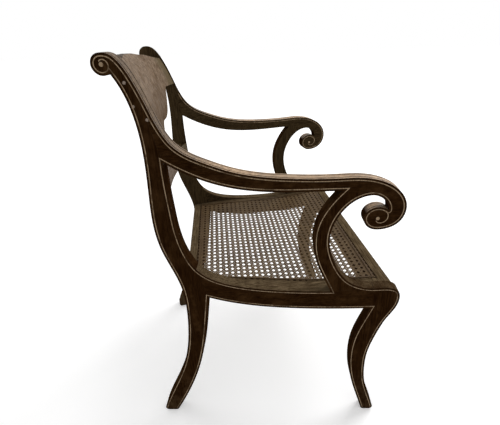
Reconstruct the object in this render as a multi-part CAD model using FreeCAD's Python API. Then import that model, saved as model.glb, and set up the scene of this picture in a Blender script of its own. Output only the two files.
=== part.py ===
import FreeCAD, Part
import math
import os
from FreeCAD import Vector

# Lyre back armchair with sabre legs and a caned seat, millimetres, +Z up.
# The sitter looks along -Y, the sitter's left is +X, the feet stand on Z = 0.
# Each side of the chair is a flat sawn frame that leans out towards the front.

# Driving sizes of the whole chair
OVERALL_HEIGHT = 870.0
ARM_HEIGHT = 650.0
SEAT_HEIGHT = 395.0
FRAME_DEPTH = 568.0
MIDDLE_WIDTH = 510.0
SPLAY = 8.7

# Sizes of the members
FRAME_THICKNESS = 25.0
LEDGE_WIDTH = 24.0
BACK_SCROLL_RADIUS = 17.5
VOLUTE_HALF_WIDTH = 27.0
VOLUTE_HALF_HEIGHT = 24.5
FOOT_ROUNDING = 9.0
REED_WIDTH = 4.0
REED_GROOVE = 2.0
REED_DEPTH = 1.5

# Sizes of the inlay
STRING_INSET = 4.2
STRING_WIDTH = 1.7
STRING_DEPTH = 1.0
STRING_STEP = 16.0
STRING_FOOT_GAP = 6.0
STRING_JOIN_GAP = 0.2
EYE_RADIUS = 3.6
EYE_MARGIN = 0.8
RIM_TURNS = 0.63
CURL_TURNS = 0.47
CURL_POWER = 1.1
CURVE_STEPS = 16

# Sizes of the back boards
BACK_BOW = 31.5
TABLET_THICKNESS = 18.0
SPLAT_THICKNESS = 12.0
BOARD_SETBACK = 1.5
BOARD_TENON = 10.0
TONGUE_THICKNESS = 6.0
TONGUE_HEIGHT = 10.0
BOARD_STEPS = 14

# Sizes of the seat
BACK_RAIL_WIDTH = 31.0
BACK_RAIL_HEIGHT = 52.0
FRONT_RAIL_WIDTH = 42.0
CANE_THICKNESS = 2.0
CANE_RIM = 12.0
CLEAR_ABOVE = 50.0
CANE_BORDER = 5.0
CANE_COUNT_ACROSS = 17
CANE_COUNT_DEEP = 17
CANE_BAR = 5.0
BINDING_WIDTH = 4.0
BINDING_HEIGHT = 1.2

# Joints
DOWEL_RADIUS = 4.0
DOWEL_LENGTH = 36.0
TENON_LENGTH = 14.0
TENON_THICKNESS = 9.0
TENON_HEIGHT = 34.0
FRONT_TENON_BACK = 26.0
FRONT_TENON_RISE = 8.0
BACK_TENON_BACK = 13.0
BACK_TENON_RISE = 9.0

# The side profile is drawn at these nominal sizes and then fitted to the driving sizes
DRAWN_TOP = 872.0
DRAWN_ARM = 651.0
DRAWN_SEAT = 395.0
DRAWN_DEPTH = 568.0
DRAWN_CENTRE = 2.4
DRAWN_WIDTH = 510.0


def lifted(height):
    """Height of a drawn point once seat, arm and crest have their real heights."""
    if height <= DRAWN_SEAT:
        return height * SEAT_HEIGHT / DRAWN_SEAT
    if height <= DRAWN_ARM:
        share = (height - DRAWN_SEAT) / (DRAWN_ARM - DRAWN_SEAT)
        return SEAT_HEIGHT + share * (ARM_HEIGHT - SEAT_HEIGHT)
    share = (height - DRAWN_ARM) / (DRAWN_TOP - DRAWN_ARM)
    return ARM_HEIGHT + share * (OVERALL_HEIGHT - ARM_HEIGHT)


def drawn(points):
    """Points of the side profile: distance back along the frame, and height."""
    scale = FRAME_DEPTH / DRAWN_DEPTH
    return [Vector(0, (back + DRAWN_CENTRE) * scale, lifted(up)) for back, up in points]


# Edges of the side frame; walking along each one, the wood is on the left hand
POST_BACK = drawn([(283, 0), (266, 46), (230, 123), (200, 207), (187, 282), (183, 350), (187, 405),
                   (200, 452), (216, 503), (223, 563), (220, 635), (217, 704), (221, 765),
                   (231, 807), (247, 840)])
STILE_FRONT = drawn([(257.5, 872), (240, 867.5), (228, 855), (216, 834), (205, 808), (196, 783),
                     (190.5, 767)])
ARM_SHOULDER = drawn([(199, 760)])
WINDOW_BACK = drawn([(184, 687), (184, 640), (182, 590), (177, 529), (165, 482), (150, 452)])
WINDOW_BOTTOM = drawn([(150, 452), (125, 429), (90, 413), (55, 404), (0, 396), (-60, 391.5),
                       (-133, 390)])
SUPPORT_REAR = drawn([(-133, 390), (-114, 432), (-100, 468), (-93, 510), (-97, 550), (-113, 587),
                      (-143, 626)])
ARM_BOTTOM = drawn([(-143, 626), (-63, 625), (0, 626.5), (58, 634), (110, 649), (150, 667),
                    (184, 687)])
LEG_FRONT = drawn([(131, 377), (141, 310), (152, 245), (174, 160), (207, 78), (248, 0)])
RAIL_BOTTOM = drawn([(-224, 342), (-140, 341.5), (-60, 344), (10, 350), (73, 360.5), (131, 377)])
FRONT_LEG_REAR = drawn([(-234.5, 0), (-209, 80), (-193, 145), (-189, 197), (-195, 255), (-208, 298),
                        (-224, 342)])
ARM_UNDER_CURL = drawn([(-233, 584), (-230, 597), (-220, 609), (-203, 616)])
SUPPORT_FRONT = drawn([(-203, 616), (-184, 613), (-164, 602), (-144, 580), (-129, 548), (-125, 513),
                       (-132, 478), (-148, 442), (-170, 415), (-199, 400), (-226, 396)])
LEG_KNEE = drawn([(-226, 396), (-262, 396), (-279, 388), (-284, 370), (-281, 350), (-271, 328),
                  (-255, 296)])
FRONT_LEG_FRONT = drawn([(-255, 296), (-240, 250), (-230, 205), (-228, 158), (-234, 103),
                         (-248, 56), (-265.5, 0)])
ARM_TOP = drawn([(190.5, 767), (183.5, 750), (165, 719), (140, 699), (110, 685), (70, 670), (20, 658.5),
                 (-50, 652), (-130, 651), (-190, 650.5), (-222, 642), (-248, 626), (-263, 605),
                 (-266, 580), (-254, 556), (-235, 545), (-214.5, 542)])
BACK_SCROLL_CENTRE = drawn([(257.5, 872)])[0] - Vector(0, 0, BACK_SCROLL_RADIUS)
ARM_VOLUTE_CENTRE = drawn([(-214.5, 542)])[0] + Vector(0, 0, VOLUTE_HALF_HEIGHT)


# Plane curves and faces of the side frame

def curve_through(points):
    """A straight edge through two points, or a smooth curve through more."""
    if len(points) == 2:
        return Part.makeLine(points[0], points[1])
    curve = Part.BSplineCurve()
    curve.interpolate(points)
    return curve.toShape()


def face_within(*edges):
    """Flat face inside the given runs of points, joined end to end by straight lines."""
    parts = []
    last = edges[-1][-1]
    for run in edges:
        if (run[0] - last).Length > 0.01:
            parts.append(Part.makeLine(last, run[0]))
        if len(run) > 1:
            parts.append(curve_through(run))
        last = run[-1]
    return Part.Face(Part.Wire(Part.__sortEdges__(parts)))


def disc(centre, radius):
    """Round face in the plane of the side frame."""
    circle = Part.Circle(centre, Vector(1, 0, 0), radius)
    return Part.Face(Part.Wire(circle.toShape()))


def on_oval(centre, half_width, half_height, degrees):
    """A point on the rim of an oval in the plane of the side frame."""
    angle = math.radians(degrees)
    return centre + Vector(0, half_width * math.cos(angle), half_height * math.sin(angle))


def oval(centre, half_width, half_height):
    """Oval face in the plane of the side frame."""
    rim = [on_oval(centre, half_width, half_height, 360 * step / CURVE_STEPS) for step in range(CURVE_STEPS)]
    curve = Part.BSplineCurve()
    curve.interpolate(rim, True)
    return Part.Face(Part.Wire(curve.toShape()))


def with_scroll(face, end):
    """The face of a member joined with the round end of its scroll."""
    return face.fuse(end).removeSplitter().Faces[0]


def board(face, start, thickness):
    """Solid cut from a plank lying on the side frame, from start inwards."""
    solid = face.extrude(Vector(thickness, 0, 0))
    solid.translate(Vector(start, 0, 0))
    return solid


def steps_along(points, count):
    """Even steps along the smooth curve through the points, with the left hand directions."""
    edge = curve_through(points)
    length = edge.Length - 0.0001
    steps = []
    for number in range(count + 1):
        place = edge.getParameterByLength(length * number / count)
        point = edge.valueAt(place)
        heading = edge.tangentAt(place)
        steps.append((point, Vector(0, -heading.z, heading.y)))
    return steps


def inset_line(points, distance, count=48, reach=0.0):
    """The curve moved to its left hand side, with both ends drawn out by reach."""
    line = [point + left * distance for point, left in steps_along(points, count)]
    if reach:
        first = (line[0] - line[1]).normalize() * reach
        last = (line[-1] - line[-2]).normalize() * reach
        line = [line[0] + first] + line + [line[-1] + last]
    return line


def crossing(one, two):
    """Where two lines of points first cross: the step on the first line, and the point."""
    for i in range(len(one) - 1):
        a, b = one[i], one[i + 1]
        for j in range(len(two) - 1):
            c, d = two[j], two[j + 1]
            det = (b.y - a.y) * (d.z - c.z) - (b.z - a.z) * (d.y - c.y)
            if abs(det) < 1e-12:
                continue
            t = ((c.y - a.y) * (d.z - c.z) - (c.z - a.z) * (d.y - c.y)) / det
            u = ((c.y - a.y) * (b.z - a.z) - (c.z - a.z) * (b.y - a.y)) / det
            if 0 <= t <= 1 and 0 <= u <= 1:
                return i, a + (b - a) * t
    raise ValueError("two edges of the side frame do not meet")


def steps_for(points):
    """Number of steps that keeps an inset line smooth along the given curve."""
    return max(12, int(curve_through(points).Length / STRING_STEP))


def mitred_line(points, before, after, distance):
    """Inset line that ends where its neighbours' inset lines cross it, or runs past a free end."""
    reach = 4 * STRING_INSET
    line = inset_line(points, distance, steps_for(points), reach)
    start, end = 0, len(line) - 2
    first, last = line[0], line[-1]
    if before:
        start, first = crossing(line, inset_line(before, distance, steps_for(before), reach))
    if after:
        end, last = crossing(line, inset_line(after, distance, steps_for(after), reach))
    near = STRING_STEP / 2
    middle = [p for p in line[start + 1:end + 1] if min((p - first).Length, (p - last).Length) > near]
    return [first] + middle + [last]


def string_face(points, before=None, after=None):
    """Narrow band along an edge of the frame, mitred against its neighbours."""
    outer = mitred_line(points, before, after, STRING_INSET)
    inner = mitred_line(points, before, after, STRING_INSET + STRING_WIDTH)
    return face_within(outer, inner[::-1])


def scroll_line(centre, half_width, half_height, inner, start, way):
    """Points that keep to the rim of a scroll, then curl in to its eye; way is 1 or -1."""
    turns = RIM_TURNS + CURL_TURNS
    count = int(turns * CURVE_STEPS)
    points = []
    for number in range(count + 1):
        turned = turns * number / count
        curled = (turned - RIM_TURNS) / CURL_TURNS if turned > RIM_TURNS else 0
        kept = 1 - curled ** CURL_POWER
        width = inner + (half_width - inner) * kept
        height = inner + (half_height - inner) * kept
        points.append(on_oval(centre, width, height, start + 360 * turned * way))
    return points


def arm_string_face(edges, from_scroll):
    """String along the given edges into the volute, drawn out of the back scroll if asked."""
    sides = []
    for inset in (STRING_INSET, STRING_INSET + STRING_WIDTH):
        inner = EYE_RADIUS + EYE_MARGIN + STRING_INSET + STRING_WIDTH - inset
        radius = BACK_SCROLL_RADIUS - inset
        top = scroll_line(BACK_SCROLL_CENTRE, radius, radius, inner, 90, -1)
        end = scroll_line(ARM_VOLUTE_CENTRE, VOLUTE_HALF_WIDTH - inset, VOLUTE_HALF_HEIGHT - inset,
                          inner, -90, 1)
        line = inset_line(edges, inset, steps_for(edges))
        start = top[::-1] if from_scroll else line[:1]
        sides.append(start + line[1:-1] + end)
    return face_within(sides[0], sides[1][::-1])


def sweep_string_face():
    """String that leaves the volute round the end of its hollow and sweeps down to the foot."""
    hollow_end = FRONT_RUN[0]
    sides = []
    for inset in (STRING_INSET, STRING_INSET + STRING_WIDTH):
        turn = [on_oval(hollow_end, inset, inset, degrees) for degrees in (320, 290, 260, 230, 200)]
        line = inset_line(FRONT_RUN, inset, steps_for(FRONT_RUN), 4 * STRING_INSET)
        sides.append(turn + line[1:])
    return face_within(sides[0], sides[1][::-1])


def groove_face(points):
    """Band that sinks a reeding groove into an edge of the frame."""
    count = steps_for(points)
    outside = inset_line(points, -REED_DEPTH, count, REED_DEPTH)
    inside = inset_line(points, REED_DEPTH, count, REED_DEPTH)
    return face_within(outside, inside[::-1])


# Placing the side frames and the pieces between them

def on_right(solid):
    """Stand a solid of the side frame on the sitter's right."""
    placed = solid.copy()
    placed.rotate(Vector(0, 0, 0), Vector(0, 0, 1), -SPLAY)
    placed.translate(Vector(-MIDDLE_WIDTH / 2, 0, 0))
    return placed


def on_left(solid):
    """Stand a solid of the side frame on the sitter's left, as a mirror image."""
    return on_right(solid).mirror(Vector(0, 0, 0), Vector(1, 0, 0))


def across(points):
    """Points of the side profile moved to the place of the frame's inner face."""
    cosine = math.cos(math.radians(SPLAY))
    shift = FRAME_THICKNESS * math.sin(math.radians(SPLAY))
    return [Vector(0, p.y * cosine - shift, p.z) for p in points]


def half_room(back, depth=0.0):
    """Half of the clear width between the side frames, or with both ends let in by depth."""
    slope = math.tan(math.radians(SPLAY))
    wood = (FRAME_THICKNESS - depth) / math.cos(math.radians(SPLAY))
    return MIDDLE_WIDTH / 2 - wood - back * slope


def between_frames(depth, front, rear):
    """Tall block between the side frames, its ends let in by depth."""
    corners = [Vector(-half_room(front, depth), front, 0), Vector(half_room(front, depth), front, 0),
               Vector(half_room(rear, depth), rear, 0), Vector(-half_room(rear, depth), rear, 0)]
    floor = Part.Face(Part.makePolygon(corners + corners[:1]))
    return floor.extrude(Vector(0, 0, 2 * OVERALL_HEIGHT))


def whole_room(depth=0.0):
    """The room between the side frames from front to back."""
    return between_frames(depth, -FRAME_DEPTH, FRAME_DEPTH)


# Side frame: every member is sawn from a plank of the frame's thickness

SEAT_TOP = drawn([(-262, 396), (-215, 394.2), (-130, 389.5), (-60, 390.5), (0, 393.5), (60, 397.5),
                  (120, 399.5), (175, 400)])
FRONT_RAIL_FACE = drawn([(-243, 396), (-259, 395.5), (-274, 388), (-279, 370), (-276, 350),
                         (-273, 342)])
SEAT_REAR = across(drawn([(150, 400)]))[0].y
SEAT_FRONT = across(FRONT_RAIL_FACE)[2].y + FRONT_RAIL_WIDTH
WINDOW_RUN = WINDOW_BACK + WINDOW_BOTTOM[1:]
BACK_RAIL_LOW = SEAT_TOP[-1].z - BACK_RAIL_HEIGHT
FRONT_RUN = ARM_UNDER_CURL + SUPPORT_FRONT[1:] + LEG_KNEE[1:] + FRONT_LEG_FRONT[1:]


def make_strings():
    """Pale stringing let into the outer face, and into the arm's inner face; one solid per string."""
    faces = {
        "post back": string_face(POST_BACK),
        "arm and stile": arm_string_face(STILE_FRONT + ARM_TOP[1:], True),
        "window": string_face(WINDOW_RUN, ARM_BOTTOM, SUPPORT_REAR),
        "support rear": string_face(SUPPORT_REAR, WINDOW_RUN, ARM_BOTTOM),
        "arm bottom": string_face(ARM_BOTTOM, SUPPORT_REAR, WINDOW_RUN),
        "front leg rear": string_face(FRONT_LEG_REAR, None, RAIL_BOTTOM),
        "rail bottom": string_face(RAIL_BOTTOM, FRONT_LEG_REAR, LEG_FRONT),
        "leg front": string_face(LEG_FRONT, RAIL_BOTTOM, None),
        "front sweep": sweep_string_face(),
    }
    strings = {name: board(face, 0, STRING_DEPTH) for name, face in faces.items()}
    reach = STRING_INSET - STRING_JOIN_GAP
    scroll_field = disc(BACK_SCROLL_CENTRE, BACK_SCROLL_RADIUS - reach)
    volute_field = oval(ARM_VOLUTE_CENTRE, VOLUTE_HALF_WIDTH - reach, VOLUTE_HALF_HEIGHT - reach)
    strings["post back"] = strings["post back"].cut(board(scroll_field, 0, STRING_DEPTH))
    strings["front sweep"] = strings["front sweep"].cut(board(volute_field, 0, STRING_DEPTH))
    below = Part.makeBox(FRAME_THICKNESS, 4 * FRAME_DEPTH, OVERALL_HEIGHT,
                         Vector(0, -2 * FRAME_DEPTH, STRING_FOOT_GAP - OVERALL_HEIGHT))
    for name in ("post back", "front leg rear", "leg front", "front sweep"):
        strings[name] = strings[name].cut(below)
    inner_face = arm_string_face(ARM_TOP[1:], False)
    strings["arm inside"] = board(inner_face, FRAME_THICKNESS - STRING_DEPTH, STRING_DEPTH)
    return strings


def make_eyes():
    """Pale round dots at the middle of the back scroll and on both faces of the arm volute."""
    volute_eye = disc(ARM_VOLUTE_CENTRE, EYE_RADIUS)
    return {"back scroll": board(disc(BACK_SCROLL_CENTRE, EYE_RADIUS), 0, STRING_DEPTH),
            "arm volute": board(volute_eye, 0, STRING_DEPTH),
            "volute inside": board(volute_eye, FRAME_THICKNESS - STRING_DEPTH, STRING_DEPTH)}


def dowel(back, up, heading):
    """Round pin in the middle of the plank, centred on a joint; heading in degrees."""
    centre = drawn([(back, up)])[0] + Vector(FRAME_THICKNESS / 2, 0, 0)
    angle = math.radians(heading)
    along = Vector(0, math.cos(angle), math.sin(angle))
    return Part.makeCylinder(DOWEL_RADIUS, DOWEL_LENGTH, centre - along * (DOWEL_LENGTH / 2), along)


# Which strings, eyes and pins are let into each member
MEETINGS = [
    ("back_post", ["post back", "arm and stile", "window", "arm bottom", "leg front", "rail bottom"],
     ["back scroll"], ["arm to post", "rail to post"]),
    ("side_rail", ["window", "rail bottom", "leg front", "support rear", "front leg rear", "front sweep"],
     [], ["rail to post", "lower rail to leg", "upper rail to leg", "support to rail"]),
    ("front_leg", ["front leg rear", "front sweep", "rail bottom"],
     [], ["lower rail to leg", "upper rail to leg"]),
    ("arm", ["arm and stile", "arm inside", "arm bottom", "support rear", "window", "front sweep"],
     ["arm volute", "volute inside"], ["arm to post", "support to arm"]),
    ("arm_support", ["support rear", "front sweep", "window", "arm bottom"],
     [], ["support to rail", "support to arm"]),
]


def make_dowels():
    """Hidden pins of the side frame's joints."""
    return {"arm to post": dowel(186, 705, 0),
            "rail to post": dowel(138, 405, 166),
            "lower rail to leg": dowel(-225, 356, 0),
            "upper rail to leg": dowel(-225, 382, 0),
            "support to rail": dowel(-152, 391, 90),
            "support to arm": dowel(-155, 624, 90)}


def make_grooves():
    """Tools that reed the front of the stile and the top of the arm."""
    tools = []
    face = groove_face(STILE_FRONT + ARM_TOP[1:])
    for start in (REED_WIDTH, FRAME_THICKNESS - REED_WIDTH - REED_GROOVE):
        tools.append(board(face, start, REED_GROOVE))
    return tools


def with_worn_foot(leg):
    """The leg with the two lower arrises of its foot rounded off."""
    on_floor = [edge for edge in leg.Edges if edge.BoundBox.ZMax < 0.001 and edge.BoundBox.YLength < 0.001]
    return leg.makeFillet(FOOT_ROUNDING, on_floor)


def make_back_post():
    """Stile and rear sabre leg in one piece, with the rolled scroll at its top."""
    face = face_within(POST_BACK, [BACK_SCROLL_CENTRE], STILE_FRONT, ARM_SHOULDER, WINDOW_BACK,
                       LEG_FRONT)
    face = with_scroll(face, disc(BACK_SCROLL_CENTRE, BACK_SCROLL_RADIUS))
    return with_worn_foot(board(face, 0, FRAME_THICKNESS))


def make_side_rail():
    """Dished side seat rail, without the ledge that carries the cane."""
    return board(face_within(RAIL_BOTTOM, WINDOW_BOTTOM, [LEG_KNEE[0]]), 0, FRAME_THICKNESS)


def make_ledge():
    """Thicker inner part of the side rail in its place on the right, level with the seat."""
    front, rear = SEAT_TOP[0], SEAT_TOP[-1]
    above = Vector(0, 0, CLEAR_ABOVE / 2)
    low_front = Vector(0, front.y, RAIL_BOTTOM[0].z)
    low_rear = Vector(0, rear.y, RAIL_BOTTOM[-1].z)
    face = face_within([low_front, RAIL_BOTTOM[0]], RAIL_BOTTOM, [low_rear], [rear + above],
                       [front + above])
    ledge = on_right(board(face, FRAME_THICKNESS, LEDGE_WIDTH))
    ledge = ledge.common(between_frames(FRAME_THICKNESS, SEAT_FRONT, SEAT_REAR))
    return ledge.cut(seat_layer(0, CLEAR_ABOVE))


def make_front_leg():
    """Front sabre leg with the rounded knee."""
    face = face_within(FRONT_LEG_REAR, LEG_KNEE, FRONT_LEG_FRONT)
    return with_worn_foot(board(face, 0, FRAME_THICKNESS))


def make_arm():
    """Reeded arm that sweeps out of the stile and rolls under into a volute."""
    face = face_within(ARM_BOTTOM, ARM_SHOULDER, ARM_TOP, [ARM_VOLUTE_CENTRE], ARM_UNDER_CURL)
    volute = oval(ARM_VOLUTE_CENTRE, VOLUTE_HALF_WIDTH, VOLUTE_HALF_HEIGHT)
    return board(with_scroll(face, volute), 0, FRAME_THICKNESS)


def make_arm_support():
    """Curved support between the side rail and the arm."""
    face = face_within(SUPPORT_REAR, SUPPORT_FRONT)
    return board(face, 0, FRAME_THICKNESS)


# Cane seat: one woven panel let into the four rails, with a binding over its edge

def seat_layer(low, high):
    """Layer that follows the dish of the seat, between two heights over its top."""
    top = across(SEAT_TOP)
    lower = [p + Vector(-MIDDLE_WIDTH, 0, low) for p in top]
    upper = [p + Vector(-MIDDLE_WIDTH, 0, high) for p in top]
    return face_within(lower, upper[::-1]).extrude(Vector(2 * MIDDLE_WIDTH, 0, 0))


def seat_outline(inset):
    """Tall block over the cane panel, drawn in from its edge by inset."""
    rim = CANE_RIM - inset
    return between_frames(rim - LEDGE_WIDTH, SEAT_FRONT - rim, SEAT_REAR + rim)


def cane_gaps():
    """Outlines of the gaps in the cane, row by row."""
    front = SEAT_FRONT + CANE_BORDER
    rear = SEAT_REAR - CANE_BORDER
    pitch = (rear - front) / CANE_COUNT_DEEP
    gaps = []
    for row in range(CANE_COUNT_DEEP):
        near = front + row * pitch + CANE_BAR / 2
        far = near + pitch - CANE_BAR
        near_half = half_room(near, -LEDGE_WIDTH) - CANE_BORDER
        far_half = half_room(far, -LEDGE_WIDTH) - CANE_BORDER
        for column in range(CANE_COUNT_ACROSS):
            left = 2 * column / CANE_COUNT_ACROSS - 1
            right = 2 * (column + 1) / CANE_COUNT_ACROSS - 1
            corners = [Vector(left * near_half + CANE_BAR / 2, near, 0),
                       Vector(right * near_half - CANE_BAR / 2, near, 0),
                       Vector(right * far_half - CANE_BAR / 2, far, 0),
                       Vector(left * far_half + CANE_BAR / 2, far, 0)]
            gaps.append(Part.makePolygon(corners + corners[:1]))
    return gaps


def make_cane_panel():
    """Woven cane as one holed sheet in the dish of the seat."""
    base = seat_outline(0).Faces
    floor = min(base, key=lambda face: face.CenterOfMass.z)
    holed = Part.Face([floor.OuterWire] + cane_gaps())
    return holed.extrude(Vector(0, 0, 2 * SEAT_HEIGHT)).common(seat_layer(-CANE_THICKNESS, 0))


def make_binding():
    """Flat strip of cane laid round the edge of the panel."""
    margin = (CANE_RIM - BINDING_WIDTH) / 2
    ring = seat_outline(margin).cut(seat_outline(margin + BINDING_WIDTH))
    return ring.common(seat_layer(0, BINDING_HEIGHT))


# Back: three boards bent to one arc, following the sweep of the stiles

BOARD_PROFILE = across(drawn([(178, 540), (182, 590), (184, 640), (184, 687), (185, 717), (188, 746),
                              (196, 783), (205, 808), (216, 834), (228, 855), (238, 870)]))


def bent_board(front, thickness):
    """Tall board bent in plan, its front surface set back by front."""
    near = inset_line(BOARD_PROFILE, -front, BOARD_STEPS)
    far = inset_line(BOARD_PROFILE, -front - thickness, BOARD_STEPS)
    section = face_within(near, far[::-1])
    middle = BOARD_PROFILE[4].y
    chord = half_room(middle)
    radius = (chord ** 2 + BACK_BOW ** 2) / (2 * BACK_BOW)
    section.translate(Vector(0, BACK_BOW, 0))
    axis = Vector(0, middle + BACK_BOW - radius, 0)
    sweep = 2 * math.degrees(math.asin((chord + 2 * BOARD_TENON) / radius))
    section.rotate(axis, Vector(0, 0, 1), -sweep / 2)
    return section.revolve(axis, Vector(0, 0, 1), sweep)


def front_view(*runs):
    """Tall block in the shape of a front outline given by its right hand half."""
    wide = MIDDLE_WIDTH / DRAWN_WIDTH
    halves = [[Vector(x * wide, -FRAME_DEPTH, lifted(z)) for x, z in run] for run in runs]
    mirrored = [[Vector(-p.x, p.y, p.z) for p in run[::-1]] for run in halves[::-1]]
    face = face_within(*(halves + mirrored))
    return face.extrude(Vector(0, 2 * FRAME_DEPTH, 0))


def band(low, high, width=DRAWN_WIDTH):
    """Tall block in the shape of a plain level band, given by its heights and half its width."""
    return front_view([(width, low)], [(width, high)])


TABLET_LOW = 776
TABLET_TENON_LOW, TABLET_TENON_HIGH = 790, 832
STAY_LOW, STAY_HIGH = 556, 606
STAY_TENON_LOW, STAY_TENON_HIGH = 566, 596
TABLET_TONGUE_HALF = 120
STAY_TONGUE_HALF = 45
TABLET_TOP = [(0, 861), (50, 860), (85, 856.5), (115, 854.5), (155, 848), (200, 842), (240, 839)]
LYRE_SHOULDER = [(139, TABLET_LOW), (128, 762), (118, 746), (109, 731), (100, 719), (89, 711),
                 (76, 707)]
LYRE_NECK = [(60, 706), (49, 703), (43, 692), (42, 680), (47, 667), (62, 652), (74, 638), (74, 622),
             (62, 611), (54, STAY_HIGH)]


def make_board_tenons(low, high):
    """Tenons at both ends of a back board, between two drawn heights."""
    inset = BOARD_SETBACK + (TABLET_THICKNESS - TENON_THICKNESS) / 2
    middle = bent_board(inset, TENON_THICKNESS).common(band(low, high))
    return middle.common(whole_room(BOARD_TENON)).cut(whole_room())


def make_tongue(low, high, half_width):
    """Tongue of the splat, the middle layer of its thickness."""
    inset = BOARD_SETBACK + (SPLAT_THICKNESS - TONGUE_THICKNESS) / 2
    return bent_board(inset, TONGUE_THICKNESS).common(band(low, high, half_width))


def make_crest_tablet(tenons, tongue):
    """Crest tablet with its serpentine top edge, grooved for the splat's upper tongue."""
    outline = front_view([(DRAWN_WIDTH / 2, TABLET_LOW)], TABLET_TOP[::-1])
    body = bent_board(BOARD_SETBACK, TABLET_THICKNESS).common(outline)
    return body.common(whole_room()).fuse(tenons).cut(tongue)


def make_lyre_splat(upper_tongue, lower_tongue):
    """Solid lyre between the tablet and the stay rail, with its two tongues."""
    outline = front_view(LYRE_NECK[::-1], LYRE_SHOULDER[::-1])
    body = bent_board(BOARD_SETBACK, SPLAT_THICKNESS).common(outline)
    return body.fuse([upper_tongue, lower_tongue])


def make_stay_rail(tenons, tongue):
    """Stay rail under the lyre, grooved for the splat's lower tongue."""
    body = bent_board(BOARD_SETBACK, TABLET_THICKNESS).common(band(STAY_LOW, STAY_HIGH))
    return body.common(whole_room()).fuse(tenons).cut(tongue)


# Seat rails between the side frames

def rail_tenons(front, low):
    """Tenons at both ends of a seat rail."""
    bar = Part.makeBox(2 * MIDDLE_WIDTH, TENON_THICKNESS, TENON_HEIGHT, Vector(-MIDDLE_WIDTH, front, low))
    return bar.common(whole_room(TENON_LENGTH)).cut(whole_room())


def make_front_rail(tenons):
    """Front rail with the rounded face of the knees, before its rebate."""
    profile = across(FRONT_RAIL_FACE)
    low_rear = Vector(0, SEAT_FRONT, profile[-1].z)
    top_rear = Vector(0, SEAT_FRONT, profile[0].z)
    section = face_within(profile, [low_rear], [top_rear])
    section.translate(Vector(-MIDDLE_WIDTH, 0, 0))
    return section.extrude(Vector(2 * MIDDLE_WIDTH, 0, 0)).common(whole_room()).fuse(tenons)


def make_back_rail(tenons):
    """Square back rail, before its rebate."""
    corner = Vector(-MIDDLE_WIDTH, SEAT_REAR, BACK_RAIL_LOW)
    bar = Part.makeBox(2 * MIDDLE_WIDTH, BACK_RAIL_WIDTH, BACK_RAIL_HEIGHT, corner)
    return bar.common(whole_room()).fuse(tenons)


def check_solid(name, shape):
    """Print the number of solids and the volume of a finished piece."""
    print(name, "solids", len(shape.Solids), "valid", shape.isValid(), "volume", round(shape.Volume))


def main():
    os.makedirs("parts", exist_ok=True)
    strings = make_strings()
    eyes = make_eyes()
    dowels = make_dowels()
    grooves = Part.makeCompound(make_grooves())
    tablet_tenons = make_board_tenons(TABLET_TENON_LOW, TABLET_TENON_HIGH)
    stay_tenons = make_board_tenons(STAY_TENON_LOW, STAY_TENON_HIGH)
    upper_tongue = make_tongue(TABLET_LOW, TABLET_LOW + TONGUE_HEIGHT, TABLET_TONGUE_HALF)
    lower_tongue = make_tongue(STAY_HIGH - TONGUE_HEIGHT, STAY_HIGH, STAY_TONGUE_HALF)
    front_tenons = rail_tenons(SEAT_FRONT - FRONT_TENON_BACK, FRONT_RAIL_FACE[-1].z + FRONT_TENON_RISE)
    back_tenons = rail_tenons(SEAT_REAR + BACK_TENON_BACK, BACK_RAIL_LOW + BACK_TENON_RISE)
    rebate = seat_outline(0).common(seat_layer(-CANE_THICKNESS, CLEAR_ABOVE))

    members = {
        "back_post": make_back_post().cut(grooves),
        "side_rail": make_side_rail(),
        "front_leg": make_front_leg(),
        "arm": make_arm().cut(grooves),
        "arm_support": make_arm_support(),
    }
    for name, inlays, scrolls, pins in MEETINGS:
        tools = [strings[one] for one in inlays]
        tools += [eyes[one] for one in scrolls]
        tools += [dowels[one] for one in pins]
        members[name] = members[name].cut(Part.makeCompound(tools))

    pieces = {}
    for side, place in (("right", on_right), ("left", on_left)):
        for name, solid in members.items():
            pieces[side + "_" + name] = place(solid)
        pieces[side + "_stringing"] = Part.makeCompound([place(s) for s in strings.values()])
        pieces[side + "_scroll_eyes"] = Part.makeCompound([place(s) for s in eyes.values()])
        pieces[side + "_frame_dowels"] = Part.makeCompound([place(s) for s in dowels.values()])

    post_mortises = Part.makeCompound([tablet_tenons, stay_tenons, back_tenons])
    ledge = make_ledge().cut(rebate)
    ledges = {"right": ledge, "left": ledge.mirror(Vector(0, 0, 0), Vector(1, 0, 0))}
    for side, side_ledge in ledges.items():
        pieces[side + "_back_post"] = pieces[side + "_back_post"].cut(post_mortises)
        pieces[side + "_front_leg"] = pieces[side + "_front_leg"].cut(front_tenons)
        pieces[side + "_side_rail"] = pieces[side + "_side_rail"].fuse(side_ledge)

    pieces["crest_tablet"] = make_crest_tablet(tablet_tenons, upper_tongue)
    pieces["lyre_splat"] = make_lyre_splat(upper_tongue, lower_tongue)
    pieces["stay_rail"] = make_stay_rail(stay_tenons, lower_tongue)
    pieces["back_seat_rail"] = make_back_rail(back_tenons).cut(rebate)
    pieces["front_seat_rail"] = make_front_rail(front_tenons).cut(rebate)
    pieces["cane_panel"] = make_cane_panel()
    pieces["cane_binding"] = make_binding()

    for name, shape in pieces.items():
        check_solid(name, shape)
        shape.exportStep("parts/" + name + ".step")


main()
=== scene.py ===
import math

import bpy
import numpy as np
from mathutils import Matrix, Vector


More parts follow.
